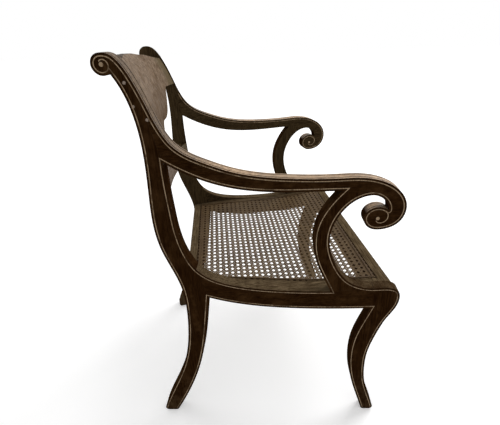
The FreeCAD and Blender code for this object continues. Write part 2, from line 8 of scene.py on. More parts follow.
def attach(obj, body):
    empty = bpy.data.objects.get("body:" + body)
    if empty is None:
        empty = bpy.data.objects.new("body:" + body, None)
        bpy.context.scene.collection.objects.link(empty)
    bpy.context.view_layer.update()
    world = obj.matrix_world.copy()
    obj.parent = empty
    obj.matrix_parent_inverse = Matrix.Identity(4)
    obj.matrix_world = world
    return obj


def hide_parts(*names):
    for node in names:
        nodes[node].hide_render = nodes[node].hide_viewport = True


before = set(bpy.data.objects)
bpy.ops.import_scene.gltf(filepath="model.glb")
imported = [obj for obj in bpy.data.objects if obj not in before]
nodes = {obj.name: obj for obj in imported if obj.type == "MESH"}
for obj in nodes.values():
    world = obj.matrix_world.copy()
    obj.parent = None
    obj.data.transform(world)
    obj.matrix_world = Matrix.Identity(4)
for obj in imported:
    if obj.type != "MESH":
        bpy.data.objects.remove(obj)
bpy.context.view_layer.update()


# Side frames
# Each side is one flat frame of sawn and shaped beech: a back post that ends in a rolled scroll,
# a curved side rail, a sabre front leg, and an arm with its volute on a bowed support.
# Outer faces and edges are ebonised, inner faces are polished brown, and the tops are paler:
# worn by hands, and with a painted highlight of the light on them.

def add_node(tree, kind, values=None, **settings):
    """Adds a shader node, sets its properties and the values of its named inputs."""
    node = tree.nodes.new(kind)
    for name, value in settings.items():
        setattr(node, name, value)
    for name, value in (values or {}).items():
        node.inputs[name].default_value = value
    return node


def new_group(name, inputs, outputs):
    """Starts a shader node group with named sockets, and returns it with its two end nodes."""
    group = bpy.data.node_groups.new(name, "ShaderNodeTree")
    for socket_name, socket_type, value in inputs:
        socket = group.interface.new_socket(socket_name, in_out="INPUT", socket_type=socket_type)
        if value is not None:
            socket.default_value = value
    for socket_name, socket_type in outputs:
        group.interface.new_socket(socket_name, in_out="OUTPUT", socket_type=socket_type)
    return group, group.nodes.new("NodeGroupInput"), group.nodes.new("NodeGroupOutput")


def add_ramp(tree, factor, stops):
    """Turns a grey value into a colour through the given (place, colour) stops."""
    ramp = add_node(tree, "ShaderNodeValToRGB")
    elements = ramp.color_ramp.elements
    while len(elements) < len(stops):
        elements.new(0.5)
    for element, (place, colour) in zip(elements, stops):
        element.position = place
        element.color = (*colour, 1.0)
    tree.links.new(factor, ramp.inputs["Fac"])
    return ramp.outputs["Color"]


def add_range(tree, value, low, high, to_low=0.0, to_high=1.0):
    """Maps a value smoothly from one range to another."""
    node = add_node(tree, "ShaderNodeMapRange", {
        "From Min": low, "From Max": high, "To Min": to_low, "To Max": to_high},
        interpolation_type="SMOOTHSTEP")
    tree.links.new(value, node.inputs["Value"])
    return node.outputs["Result"]


def add_math(tree, operation, first, second):
    """Joins two values, each a socket or a number."""
    node = add_node(tree, "ShaderNodeMath", operation=operation)
    for socket, value in zip(node.inputs, (first, second)):
        if isinstance(value, (int, float)):
            socket.default_value = value
        else:
            tree.links.new(value, socket)
    return node.outputs["Value"]


def mix_colours(tree, factor, first, second):
    """Mixes two colours, each a socket or three numbers."""
    node = add_node(tree, "ShaderNodeMix", data_type="RGBA")
    if isinstance(factor, (int, float)):
        node.inputs[0].default_value = factor
    else:
        tree.links.new(factor, node.inputs[0])
    for socket, colour in ((node.inputs[6], first), (node.inputs[7], second)):
        if isinstance(colour, tuple):
            socket.default_value = (*colour, 1.0)
        else:
            tree.links.new(colour, socket)
    return node.outputs[2]


def object_place(tree):
    """The place of each point in the part's own frame, which no view changes."""
    return add_node(tree, "ShaderNodeTexCoord").outputs["Object"]


def split_place(tree, vector):
    """Splits a place into its three measures."""
    node = add_node(tree, "ShaderNodeSeparateXYZ")
    tree.links.new(vector, node.inputs["Vector"])
    return node.outputs["X"], node.outputs["Y"], node.outputs["Z"]


def new_material(name):
    """Starts a material, and returns it with its node tree."""
    material = bpy.data.materials.new(name)
    material.use_nodes = True
    return material, material.node_tree


FRAME_STREAK_SCALE = 520.0
BAND_SCALE = 75.0
PORE_SCALE = 1500.0
GRAIN_STRETCH = 0.05
PORE_DEPTH = 0.7


def build_grain_group():
    """Wood figure that runs along the group's Z axis: broad bands, fine streaks, short pores."""
    group, start, end = new_group(
        "wood grain",
        [("Vector", "NodeSocketVector", None),
         ("Streak Scale", "NodeSocketFloat", FRAME_STREAK_SCALE)],
        [("Bands", "NodeSocketFloat"), ("Streaks", "NodeSocketFloat"),
         ("Pores", "NodeSocketFloat"), ("Height", "NodeSocketFloat")])
    stretched = add_node(group, "ShaderNodeMapping", {"Scale": (1.0, 1.0, GRAIN_STRETCH)})
    group.links.new(start.outputs["Vector"], stretched.inputs["Vector"])
    bands = add_node(group, "ShaderNodeTexNoise",
                     {"Scale": BAND_SCALE, "Detail": 3.0, "Distortion": 0.6})
    streaks = add_node(group, "ShaderNodeTexNoise", {"Detail": 4.0, "Roughness": 0.65})
    pores = add_node(group, "ShaderNodeTexNoise", {"Scale": PORE_SCALE, "Detail": 1.0})
    for noise in (bands, streaks, pores):
        group.links.new(stretched.outputs["Vector"], noise.inputs["Vector"])
    group.links.new(start.outputs["Streak Scale"], streaks.inputs["Scale"])
    dark_pores = add_range(group, pores.outputs["Fac"], 0.34, 0.42, 1.0, 0.0)
    height = add_math(group, "SUBTRACT", streaks.outputs["Fac"],
                      add_math(group, "MULTIPLY", dark_pores, PORE_DEPTH))
    group.links.new(add_range(group, bands.outputs["Fac"], 0.32, 0.68), end.inputs["Bands"])
    group.links.new(add_range(group, streaks.outputs["Fac"], 0.3, 0.7), end.inputs["Streaks"])
    group.links.new(dark_pores, end.inputs["Pores"])
    group.links.new(height, end.inputs["Height"])
    return group


PATCH_SCALE = 28.0
CHIP_SCALE = 95.0
DUST_SCALE = 420.0


def build_rub_group():
    """Patchy wear: broad thin places, small chips and a thin veil of settled dust."""
    group, start, end = new_group(
        "rubbed finish",
        [("Vector", "NodeSocketVector", None)],
        [("Thin", "NodeSocketFloat"), ("Chips", "NodeSocketFloat"), ("Dust", "NodeSocketFloat")])
    patches = add_node(group, "ShaderNodeTexNoise",
                       {"Scale": PATCH_SCALE, "Detail": 6.0, "Roughness": 0.7})
    chips = add_node(group, "ShaderNodeTexNoise",
                     {"Scale": CHIP_SCALE, "Detail": 3.0, "Roughness": 0.75})
    dust = add_node(group, "ShaderNodeTexNoise",
                    {"Scale": DUST_SCALE, "Detail": 4.0, "Roughness": 0.8})
    for noise in (patches, chips, dust):
        group.links.new(start.outputs["Vector"], noise.inputs["Vector"])
    group.links.new(add_range(group, patches.outputs["Fac"], 0.38, 0.66), end.inputs["Thin"])
    group.links.new(add_range(group, chips.outputs["Fac"], 0.70, 0.74), end.inputs["Chips"])
    group.links.new(add_range(group, dust.outputs["Fac"], 0.45, 0.75), end.inputs["Dust"])
    return group


wood_grain = build_grain_group()
rubbed_finish = build_rub_group()

GRAIN_UPRIGHT = (0.0, 0.0, 0.0)
GRAIN_FORE_AND_AFT = (math.radians(90.0), 0.0, 0.0)
GRAIN_ACROSS = (0.0, math.radians(90.0), 0.0)


def place_grain(tree, turned, streak_scale):
    """Puts the grain and the rub groups in a material, the grain turned to lie along the member."""
    place = object_place(tree)
    turning = add_node(tree, "ShaderNodeMapping", {"Rotation": turned})
    tree.links.new(place, turning.inputs["Vector"])
    grain = add_node(tree, "ShaderNodeGroup", node_tree=wood_grain)
    grain.inputs["Streak Scale"].default_value = streak_scale
    tree.links.new(turning.outputs["Vector"], grain.inputs["Vector"])
    rub = add_node(tree, "ShaderNodeGroup", node_tree=rubbed_finish)
    tree.links.new(place, rub.inputs["Vector"])
    return grain, rub


def place_mask(tree, group, values=None):
    """Puts a mask group in a material, fed with the places of the part's own frame."""
    node = add_node(tree, "ShaderNodeGroup", values, node_tree=group)
    tree.links.new(object_place(tree), node.inputs["Vector"])
    return node.outputs["Mask"]


def facing(tree, direction, low, high):
    """How far the surface faces a direction, as a soft mask."""
    surface = add_node(tree, "ShaderNodeNewGeometry")
    dot = add_node(tree, "ShaderNodeVectorMath", operation="DOT_PRODUCT")
    dot.inputs[1].default_value = direction
    tree.links.new(surface.outputs["Normal"], dot.inputs[0])
    return add_range(tree, dot.outputs["Value"], low, high)


ARRIS_RADIUS = 0.0012
ARRIS_SAMPLES = 4


def build_arris_group():
    """Rounds the look of sharp edges, and masks the narrow strip along each one that rubs first."""
    group, start, end = new_group(
        "rubbed arris",
        [("Radius", "NodeSocketFloat", ARRIS_RADIUS)],
        [("Normal", "NodeSocketVector"), ("Edge", "NodeSocketFloat")])
    rounded = add_node(group, "ShaderNodeBevel", samples=ARRIS_SAMPLES)
    group.links.new(start.outputs["Radius"], rounded.inputs["Radius"])
    surface = add_node(group, "ShaderNodeNewGeometry")
    dot = add_node(group, "ShaderNodeVectorMath", operation="DOT_PRODUCT")
    group.links.new(rounded.outputs["Normal"], dot.inputs[0])
    group.links.new(surface.outputs["True Normal"], dot.inputs[1])
    group.links.new(rounded.outputs["Normal"], end.inputs["Normal"])
    edge = add_range(group, dot.outputs["Value"], 0.80, 0.99, 1.0, 0.0)
    group.links.new(edge, end.inputs["Edge"])
    return group


FRAME_LEAN = math.radians(8.7)
HALF_MIDDLE_WIDTH = 0.255
FRAME_THICKNESS = 0.025
REED_CENTRE = 0.005
REED_HALF_WIDTH = 0.0013


def build_reeding_shade_group():
    """Masks painted shade in the two grooves of the reeding, by their distance from the frame's
    middle.

    Across is the direction through the frame's thickness, towards the middle of the chair.
    """
    group, start, end = new_group(
        "reeding shade",
        [("Vector", "NodeSocketVector", None), ("Across", "NodeSocketVector", None)],
        [("Mask", "NodeSocketFloat")])
    across = add_node(group, "ShaderNodeVectorMath", operation="DOT_PRODUCT")
    group.links.new(start.outputs["Vector"], across.inputs[0])
    group.links.new(start.outputs["Across"], across.inputs[1])
    middle = HALF_MIDDLE_WIDTH * math.cos(FRAME_LEAN) - FRAME_THICKNESS / 2.0
    offset = add_math(group, "ADD", across.outputs["Value"], middle)
    from_middle = add_math(group, "ABSOLUTE", offset, 0.0)
    from_reed = add_math(group, "SUBTRACT", from_middle, FRAME_THICKNESS / 2.0 - REED_CENTRE)
    away = add_math(group, "ABSOLUTE", from_reed, 0.0)
    mask = add_range(group, away, REED_HALF_WIDTH * 0.6, REED_HALF_WIDTH * 1.2, 1.0, 0.0)
    group.links.new(mask, end.inputs["Mask"])
    return group


PANEL_EDGE_BAND = 0.002
UNPOLISHED_SHADE_FROM = -0.0004
UNPOLISHED_SHADE_TO = 0.0002

panel = nodes["cane_panel"]
panel_points = np.array([v.co for v in panel.data.vertices])
panel_front = float(panel_points[:, 1].min())
panel_rear = float(panel_points[:, 1].max())
in_front_band = panel_points[:, 1] < panel_front + PANEL_EDGE_BAND
in_rear_band = panel_points[:, 1] > panel_rear - PANEL_EDGE_BAND
panel_front_half = float(panel_points[in_front_band, 0].max())
panel_rear_half = float(panel_points[in_rear_band, 0].max())
panel_taper = (panel_rear_half - panel_front_half) / (panel_rear - panel_front)


def build_under_cane_shade_group():
    """Masks the wood below the caned panel, which is unpolished and darkened there as painted shade.
    """
    group, start, end = new_group(
        "under the cane",
        [("Vector", "NodeSocketVector", None)],
        [("Mask", "NodeSocketFloat")])
    x, y, _ = split_place(group, start.outputs["Vector"])
    back = add_math(group, "SUBTRACT", y, panel_front)
    half = add_math(group, "ADD", add_math(group, "MULTIPLY", back, panel_taper), panel_front_half)
    from_side = add_math(group, "SUBTRACT", half, add_math(group, "ABSOLUTE", x, 0.0))
    from_rear = add_math(group, "SUBTRACT", panel_rear, y)
    nearest = add_math(group, "MINIMUM", add_math(group, "MINIMUM", from_side, from_rear), back)
    mask = add_range(group, nearest, UNPOLISHED_SHADE_FROM, UNPOLISHED_SHADE_TO)
    group.links.new(mask, end.inputs["Mask"])
    return group


rubbed_arris = build_arris_group()
reeding_shade = build_reeding_shade_group()
under_cane_shade = build_under_cane_shade_group()

POLISH_TINT = (0.75, 0.50, 0.32, 1.0)
GRAIN_DEPTH = 0.0004


def finish_wood(material, colour, roughness, height, relief, gloss, sheen=None, normal=None):
    """Feeds the wood's colour, gloss and relief to its shader.

    Gloss is one number for the whole piece. A sheen that varies over it is used instead, if given.
    """
    tree = material.node_tree
    shader = tree.nodes["Principled BSDF"]
    shader.inputs["Specular IOR Level"].default_value = gloss
    if sheen:
        tree.links.new(sheen, shader.inputs["Specular IOR Level"])
    shader.inputs["Specular Tint"].default_value = POLISH_TINT
    bump = add_node(tree, "ShaderNodeBump", {"Strength": relief, "Distance": GRAIN_DEPTH})
    tree.links.new(height, bump.inputs["Height"])
    if normal:
        tree.links.new(normal, bump.inputs["Normal"])
    tree.links.new(bump.outputs["Normal"], shader.inputs["Normal"])
    tree.links.new(colour, shader.inputs["Base Color"])
    tree.links.new(roughness, shader.inputs["Roughness"])


NICK_RADIUS = 0.0030
NICK_RAGGEDNESS = 0.0030
POST_NICKS = ((-0.2204, 0.2261, 0.8236), (-0.2215, 0.2188, 0.7853), (-0.2245, 0.1992, 0.7632))


def nick_mask(tree, centre, ragged):
    """Masks one small nick where the finish has flaked from the wood."""
    distance = add_node(tree, "ShaderNodeVectorMath", operation="DISTANCE")
    distance.inputs[1].default_value = centre
    tree.links.new(object_place(tree), distance.inputs[0])
    frayed = add_math(tree, "ADD", distance.outputs["Value"],
                      add_math(tree, "MULTIPLY", ragged, NICK_RAGGEDNESS))
    return add_range(tree, frayed, NICK_RADIUS * 0.8, NICK_RADIUS * 1.2, 1.0, 0.0)


EBONISED = (0.0125, 0.0045, 0.0013)
EBONISED_LIGHT = (0.0330, 0.0140, 0.0045)
EBONISED_BROWN = (0.0620, 0.0300, 0.0110)
BROWN_DARK = (0.0180, 0.0105, 0.0045)
BROWN_LIGHT = (0.0720, 0.0470, 0.0220)
RAW_DARK = (0.022, 0.012, 0.006)
RAW_LIGHT = (0.060, 0.034, 0.017)
# The colours of the tops are pale partly from wear and partly as a painted highlight.
ARM_WORN_HIGHLIT_DARK = (0.230, 0.138, 0.072)
ARM_WORN_HIGHLIT_LIGHT = (0.720, 0.510, 0.325)
RAIL_WORN_HIGHLIT_DARK = (0.060, 0.041, 0.021)
RAIL_WORN_HIGHLIT_LIGHT = (0.170, 0.122, 0.070)
POST_WORN_HIGHLIT_DARK = (0.085, 0.054, 0.031)
POST_WORN_HIGHLIT_LIGHT = (0.260, 0.185, 0.118)
ARRIS_COLOUR = (0.1150, 0.0720, 0.0400)
CHIP_COLOUR = (0.2300, 0.1700, 0.1150)
NICK_COLOUR = (0.3300, 0.2600, 0.2100)
SCUFF_COLOUR = (0.1050, 0.0740, 0.0430)

FADED_SHARE = 0.7
BAND_SHARE = 0.45
THIN_SHARE = 0.45
CHIP_SHARE = 0.6
SCUFF_SHARE = 0.55
ARRIS_SHARE = 0.55
PORE_SHARE = 0.5
FACE_FROM = 0.55
FACE_TO = 0.80
SCUFFS_FROM = 0.02
SCUFFS_TO = 0.16
JOINT_FADE_FRONT = 0.06
JOINT_FADE_REAR = 0.18
WORN_FADE = 0.02


def make_frame_wood(name, turned, outward, worn_highlit_dark, worn_highlit_light, worn_highlit_share, upward,
                    above=0.0, reeded=False, under_seat=False, polish=0.0, nicks=()):
    """Frame wood: ebonised outside, brown inside, paler where hands rub it and a highlight is
    painted.

    The paler look, worn and with a painted highlight, lies on the surfaces that face
    the way called upward, from the height above.
    Where polish is given, those surfaces have a faint sheen.
    """
    material, tree = new_material(name)
    grain, rub = place_grain(tree, turned, FRAME_STREAK_SCALE)
    streaks = grain.outputs["Streaks"]
    thin_places = rub.outputs["Thin"]
    outside = add_ramp(tree, streaks, [(0.15, EBONISED), (0.95, EBONISED_LIGHT)])
    faded_patches = add_math(tree, "MULTIPLY", thin_places, grain.outputs["Bands"])
    faded = add_math(tree, "MULTIPLY", faded_patches, FADED_SHARE)
    outside = mix_colours(tree, faded, outside, EBONISED_BROWN)
    inside = add_ramp(tree, streaks, [(0.10, BROWN_DARK), (0.90, BROWN_LIGHT)])
    bands = add_math(tree, "MULTIPLY", grain.outputs["Bands"], BAND_SHARE)
    banded = mix_colours(tree, bands, inside, BROWN_LIGHT)
    inner_face = facing(tree, (-outward, 0.0, 0.0), FACE_FROM, FACE_TO)
    outer_face = facing(tree, (outward, 0.0, 0.0), FACE_FROM, FACE_TO)
    body = mix_colours(tree, inner_face, outside, banded)
    # Tops take a paler colour: real wear, and a painted highlight where the light falls on them.
    worn_highlit = add_ramp(tree, streaks, [(0.10, worn_highlit_dark), (0.90, worn_highlit_light)])
    _, y, z = split_place(tree, object_place(tree))
    if reeded:
        post_worn_highlit = add_ramp(tree, streaks, [(0.10, POST_WORN_HIGHLIT_DARK), (0.90, POST_WORN_HIGHLIT_LIGHT)])
        near_joint = add_range(tree, y, JOINT_FADE_FRONT, JOINT_FADE_REAR)
        worn_highlit = mix_colours(tree, near_joint, worn_highlit, post_worn_highlit)
        through = (-outward * math.cos(FRAME_LEAN), -math.sin(FRAME_LEAN), 0.0)
        # The two grooves of the reeding take the dark ebonised colour as painted shade.
        worn_highlit = mix_colours(tree, place_mask(tree, reeding_shade, {"Across": through}), worn_highlit, EBONISED)
    high = add_range(tree, z, above - WORN_FADE, above + WORN_FADE)
    thin = add_math(tree, "ADD", add_math(tree, "MULTIPLY", thin_places, THIN_SHARE), worn_highlit_share)
    handled_and_highlit = add_math(tree, "MULTIPLY", facing(tree, upward, 0.25, 0.75), high)
    worn_highlit_mask = add_math(tree, "MULTIPLY", handled_and_highlit, thin)
    shown = mix_colours(tree, worn_highlit_mask, body, worn_highlit)
    if under_seat:
        # Under the cane the tops are darker raw wood: unpolished, and in painted shade under the
        # weave.
        raw = add_ramp(tree, streaks, [(0.1, RAW_DARK), (0.9, RAW_LIGHT)])
        shown = mix_colours(tree, place_mask(tree, under_cane_shade), shown, raw)
    off_outer_face = add_math(tree, "SUBTRACT", 1.0, outer_face)
    chips = add_math(tree, "MULTIPLY", rub.outputs["Chips"], off_outer_face)
    shown = mix_colours(tree, add_math(tree, "MULTIPLY", chips, CHIP_SHARE), shown, CHIP_COLOUR)
    near_floor = add_range(tree, z, SCUFFS_FROM, SCUFFS_TO, SCUFF_SHARE, 0.0)
    scuffed = add_math(tree, "MULTIPLY", thin_places, near_floor)
    shown = mix_colours(tree, add_math(tree, "MULTIPLY", scuffed, streaks), shown, SCUFF_COLOUR)
    for nick in nicks:
        shown = mix_colours(tree, nick_mask(tree, nick, rub.outputs["Dust"]), shown, NICK_COLOUR)
    arris = add_node(tree, "ShaderNodeGroup", {"Radius": ARRIS_RADIUS}, node_tree=rubbed_arris)
    arris_thin = add_math(tree, "MULTIPLY", arris.outputs["Edge"],
                          add_math(tree, "MULTIPLY", thin_places, ARRIS_SHARE))
    shown = mix_colours(tree, arris_thin, shown, ARRIS_COLOUR)
    pores = add_math(tree, "MULTIPLY", grain.outputs["Pores"], PORE_SHARE)
    pored = mix_colours(tree, pores, shown, EBONISED)
    roughness = add_math(tree, "ADD", add_range(tree, rub.outputs["Dust"], 0.0, 1.0, 0.32, 0.46),
                         add_math(tree, "MULTIPLY", worn_highlit_mask, 0.12))
    sheen = add_math(tree, "MULTIPLY", handled_and_highlit, polish) if polish else None
    finish_wood(material, pored, roughness, grain.outputs["Height"], 0.22, 0.0, sheen,
                arris.outputs["Normal"])
    return material


def dress(name, material):
    """Gives a CAD node its finish."""
    node = nodes[name]
    node.data.materials.clear()
    node.data.materials.append(material)


UP = (0.0, -0.25, 0.97)
UP_AND_FORWARD = (0.0, -0.80, 0.60)
ARM_JOINT_HEIGHT = 0.70
# How much of the worn colour, with its painted highlight, the tops of each part take.
POST_WORN_HIGHLIT_SHARE = 0.70
LEG_WORN_HIGHLIT_SHARE = 0.15
RAIL_WORN_HIGHLIT_SHARE = 0.70
ARM_WORN_HIGHLIT_SHARE = 0.68
POST_POLISH = 0.08
ARM_POLISH = 0.20

for side, outward in (("right", -1.0), ("left", 1.0)):
    post_wood = make_frame_wood(
        f"{side} post wood", GRAIN_UPRIGHT, outward, POST_WORN_HIGHLIT_DARK, POST_WORN_HIGHLIT_LIGHT,
        POST_WORN_HIGHLIT_SHARE, UP_AND_FORWARD, ARM_JOINT_HEIGHT, reeded=True, polish=POST_POLISH,
        nicks=POST_NICKS if side == "right" else ())
    leg_wood = make_frame_wood(
        f"{side} leg wood", GRAIN_UPRIGHT, outward, RAIL_WORN_HIGHLIT_DARK, RAIL_WORN_HIGHLIT_LIGHT,
        LEG_WORN_HIGHLIT_SHARE, UP)
    rail_wood = make_frame_wood(
        f"{side} rail wood", GRAIN_FORE_AND_AFT, outward, RAIL_WORN_HIGHLIT_DARK, RAIL_WORN_HIGHLIT_LIGHT,
        RAIL_WORN_HIGHLIT_SHARE, UP, under_seat=True)
    arm_wood = make_frame_wood(
        f"{side} arm wood", GRAIN_FORE_AND_AFT, outward, ARM_WORN_HIGHLIT_DARK, ARM_WORN_HIGHLIT_LIGHT,
        ARM_WORN_HIGHLIT_SHARE, UP, reeded=True, polish=ARM_POLISH)
    dress(f"{side}_back_post", post_wood)
    dress(f"{side}_front_leg", leg_wood)
    dress(f"{side}_arm_support", leg_wood)
    dress(f"{side}_side_rail", rail_wood)
    dress(f"{side}_arm", arm_wood)


# Stringing and scroll eyes
# Thin lines of boxwood lie in grooves along the edges of the outer faces, and along the inner
# faces of the arms. They run into the scrolls as spirals, each with a turned boxwood eye at its
# middle. Age has browned them, and dirt hides short runs.

STRING_PALE = (0.440, 0.325, 0.210)
STRING_BROWN = (0.210, 0.140, 0.080)
STRING_DARK = (0.045, 0.026, 0.013)
STRING_STREAK_SCALE = 700.0
STRING_DIRT_SHARE = 0.75


def make_boxwood():
    """Pale close grained boxwood under old polish, dark with dirt in places."""
    material, tree = new_material("aged boxwood")
    grain, rub = place_grain(tree, GRAIN_UPRIGHT, STRING_STREAK_SCALE)
    colour = add_ramp(tree, grain.outputs["Streaks"], [(0.1, STRING_BROWN), (0.8, STRING_PALE)])
    dirt = add_range(tree, rub.outputs["Thin"], 0.45, 0.95)
    dirt = add_math(tree, "MULTIPLY", dirt, STRING_DIRT_SHARE)
    colour = mix_colours(tree, dirt, colour, STRING_DARK)
    roughness = add_range(tree, rub.outputs["Dust"], 0.0, 1.0, 0.34, 0.5)
    finish_wood(material, colour, roughness, grain.outputs["Height"], 0.1, 0.05)
    return material


aged_boxwood = make_boxwood()
for side in ("right", "left"):
    dress(f"{side}_stringing", aged_boxwood)
    dress(f"{side}_scroll_eyes", aged_boxwood)


# Dowels
# Plain beech pegs close the joints inside each side frame.
# Their ends stay hidden in the wood, so they are left unpolished.

PEG_DARK = (0.230, 0.140, 0.070)
PEG_LIGHT = (0.420, 0.290, 0.160)
PEG_STREAK_SCALE = 600.0


def make_peg_wood():
    """Unpolished beech."""
    material, tree = new_material("peg beech")
    grain, rub = place_grain(tree, GRAIN_FORE_AND_AFT, PEG_STREAK_SCALE)
    colour = add_ramp(tree, grain.outputs["Streaks"], [(0.1, PEG_DARK), (0.9, PEG_LIGHT)])
    roughness = add_range(tree, rub.outputs["Dust"], 0.0, 1.0, 0.6, 0.75)
    finish_wood(material, colour, roughness, grain.outputs["Height"], 0.2, 0.0)
    return material


peg_beech = make_peg_wood()
for side in ("right", "left"):
    dress(f"{side}_frame_dowels", peg_beech)


# Seat rails
# The front and the back rail join the side frames with tenons. Polished where they show,
# they are left as raw brown wood on the faces that look inwards under the cane. Their tops are
# paler with wear and a painted highlight, and under the cane they are dark, as painted shade.

def make_seat_rail_wood(name, inward):
    """Rail wood: polished outside and on top, raw on the face below the cane.

    The tops are paler with wear and a painted highlight; under the cane they are in painted shade.
    """
    material, tree = new_material(name)
    grain, rub = place_grain(tree, GRAIN_ACROSS, FRAME_STREAK_SCALE)
    polished = add_ramp(tree, grain.outputs["Streaks"], [(0.1, BROWN_DARK), (0.9, BROWN_LIGHT)])
    # Upward faces take the worn colour: real wear and a painted highlight.
    worn_highlit = add_ramp(tree, grain.outputs["Streaks"], [(0.1, RAIL_WORN_HIGHLIT_DARK), (0.9, RAIL_WORN_HIGHLIT_LIGHT)])
    upward = facing(tree, (0.0, 0.0, 1.0), 0.45, 0.85)
    thin = add_math(tree, "ADD", add_math(tree, "MULTIPLY", rub.outputs["Thin"], 0.4), 0.5)
    colour = mix_colours(tree, add_math(tree, "MULTIPLY", upward, thin), polished, worn_highlit)
    # Faces looking into the seat are raw wood; under the cane the raw colour also stands for painted
    # shade.
    raw = add_ramp(tree, grain.outputs["Streaks"], [(0.1, RAW_DARK), (0.9, RAW_LIGHT)])
    towards_seat = facing(tree, (0.0, inward, 0.0), 0.6, 0.85)
    hidden = add_math(tree, "MAXIMUM", towards_seat, place_mask(tree, under_cane_shade))
    colour = mix_colours(tree, hidden, colour, raw)
    roughness = add_range(tree, rub.outputs["Dust"], 0.0, 1.0, 0.34, 0.55)
    finish_wood(material, colour, roughness, grain.outputs["Height"], 0.25, 0.0)
    return material


dress("front_seat_rail", make_seat_rail_wood("front rail wood", 1.0))
dress("back_seat_rail", make_seat_rail_wood("back rail wood", -1.0))


# Back boards
# The crest tablet, the lyre splat and the stay rail are cut from bent board and sit in the posts.
# Their fronts are a greyish brown, streaked along the grain: the finish has faded, and a painted
# sheen of the light lies on it. It is browner with grime low down, and dull olive at the left end.

FADED_SHEEN_DARK = (0.082, 0.050, 0.028)
FADED_SHEEN_LIGHT = (0.245, 0.172, 0.112)
FADED_OLIVE = (0.088, 0.066, 0.030)
OLIVE_FROM = 0.145
OLIVE_TO = 0.185
OLIVE_SHARE = 0.75
GRIMY_BELOW = 0.700
CLEAN_ABOVE = 0.815
GRIME_SHARE = 0.65
BLOTCH_SHARE = 0.8
BOARD_STREAK_SCALE = 260.0
BOARD_FRONT = (0.0, -0.93, 0.37)


def make_faded_sheen_board(name, turned):
    """Faded brown board, streaked along the grain, darker and browner on its back and edges.

    Its paler front is partly faded finish and partly a painted sheen of the light.
    """
    material, tree = new_material(name)
    grain, rub = place_grain(tree, turned, BOARD_STREAK_SCALE)
    faded = add_ramp(tree, grain.outputs["Streaks"], [(0.05, FADED_SHEEN_DARK), (0.75, FADED_SHEEN_LIGHT)])
    blotches = add_math(tree, "MULTIPLY", rub.outputs["Thin"], grain.outputs["Bands"])
    blotches = add_math(tree, "MULTIPLY", blotches, BLOTCH_SHARE)
    wiped = mix_colours(tree, blotches, faded, FADED_SHEEN_DARK)
    x, _, z = split_place(tree, object_place(tree))
    grime = add_range(tree, z, GRIMY_BELOW, CLEAN_ABOVE, GRIME_SHARE, 0.0)
    wiped = mix_colours(tree, grime, wiped, FADED_SHEEN_DARK)
    left_end = add_range(tree, x, OLIVE_FROM, OLIVE_TO)
    left_end = add_math(tree, "MULTIPLY", left_end, OLIVE_SHARE)
    front_colour = mix_colours(tree, left_end, wiped, FADED_OLIVE)
    dark = add_ramp(tree, grain.outputs["Streaks"], [(0.1, BROWN_DARK), (0.9, BROWN_LIGHT)])
    # The front takes the faded colour with its painted sheen; back and edges keep the darker brown.
    front = facing(tree, BOARD_FRONT, 0.35, 0.75)
    colour = mix_colours(tree, front, dark, front_colour)
    roughness = add_range(tree, rub.outputs["Thin"], 0.0, 1.0, 0.40, 0.58)
    finish_wood(material, colour, roughness, grain.outputs["Height"], 0.25, 0.03)
    return material


faded_sheen_upright = make_faded_sheen_board("faded sheen upright board", GRAIN_UPRIGHT)
faded_sheen_across = make_faded_sheen_board("faded sheen cross board", GRAIN_ACROSS)
dress("crest_tablet", faded_sheen_upright)
dress("lyre_splat", faded_sheen_upright)
dress("stay_rail", faded_sheen_across)


# Cane seat
# The seat is hand caned in the six way pattern: pairs of strands from front to back and from side
# to side, locked by single diagonals, leave small holes about 14 mm apart.
# The strands end in the rebate inside the rails, under a strip of binding cane.

PITCH_ACROSS = 0.0145
PITCH_DEEP = 0.0136
PAIR_HALF_GAP = 0.0017
STRAIGHT_WIDTH = 0.0027
DIAGONAL_WIDTH = 0.0035
STRAND_THICKNESS = 0.00055
WEAVE_LIFT = 0.00028
DIAGONAL_LIFT = 0.00062
WEAVE_BELOW_TOP = 0.0012
END_MARGIN = 0.0012
EDGE_INSET = 0.002
EDGE_STEP_IN = 0.001
HEIGHT_STEPS = 60
ABOVE_CHAIR = 1.0


def panel_half_width(y):
    """Half the width of the caned panel at a distance from front to back."""
    return panel_front_half + panel_taper * (y - panel_front) - END_MARGIN


def panel_heights():
    """The height of the panel's solid edge, met from above at even steps from front to back."""
    places = np.linspace(panel_front + EDGE_STEP_IN, panel_rear - EDGE_STEP_IN, HEIGHT_STEPS)
    heights = []
    for y in places:
        above = Vector((panel_half_width(y) - EDGE_INSET, y, ABOVE_CHAIR))
        met, point, _, _ = panel.ray_cast(above, Vector((0.0, 0.0, -1.0)))
        if met:
            heights.append((y, point.z))
    return np.array(heights).transpose()


height_places, height_values = panel_heights()


def seat_height(y):
    """The middle level of the weave at a distance from front to back."""
    return np.interp(y, height_places, height_values) - WEAVE_BELOW_TOP


def inside(point):
    """Tells whether a place lies on the caned panel."""
    x, y = point
    within_ends = panel_front + END_MARGIN <= y <= panel_rear - END_MARGIN
    return within_ends and abs(x) <= panel_half_width(y)


STRAND_SECTION = ((-0.5, 0.0), (-0.25, 0.5), (0.25, 0.5), (0.5, 0.0), (0.0, -0.5))
CLIP_HALVINGS = 12

strand_points = []
strand_faces = []


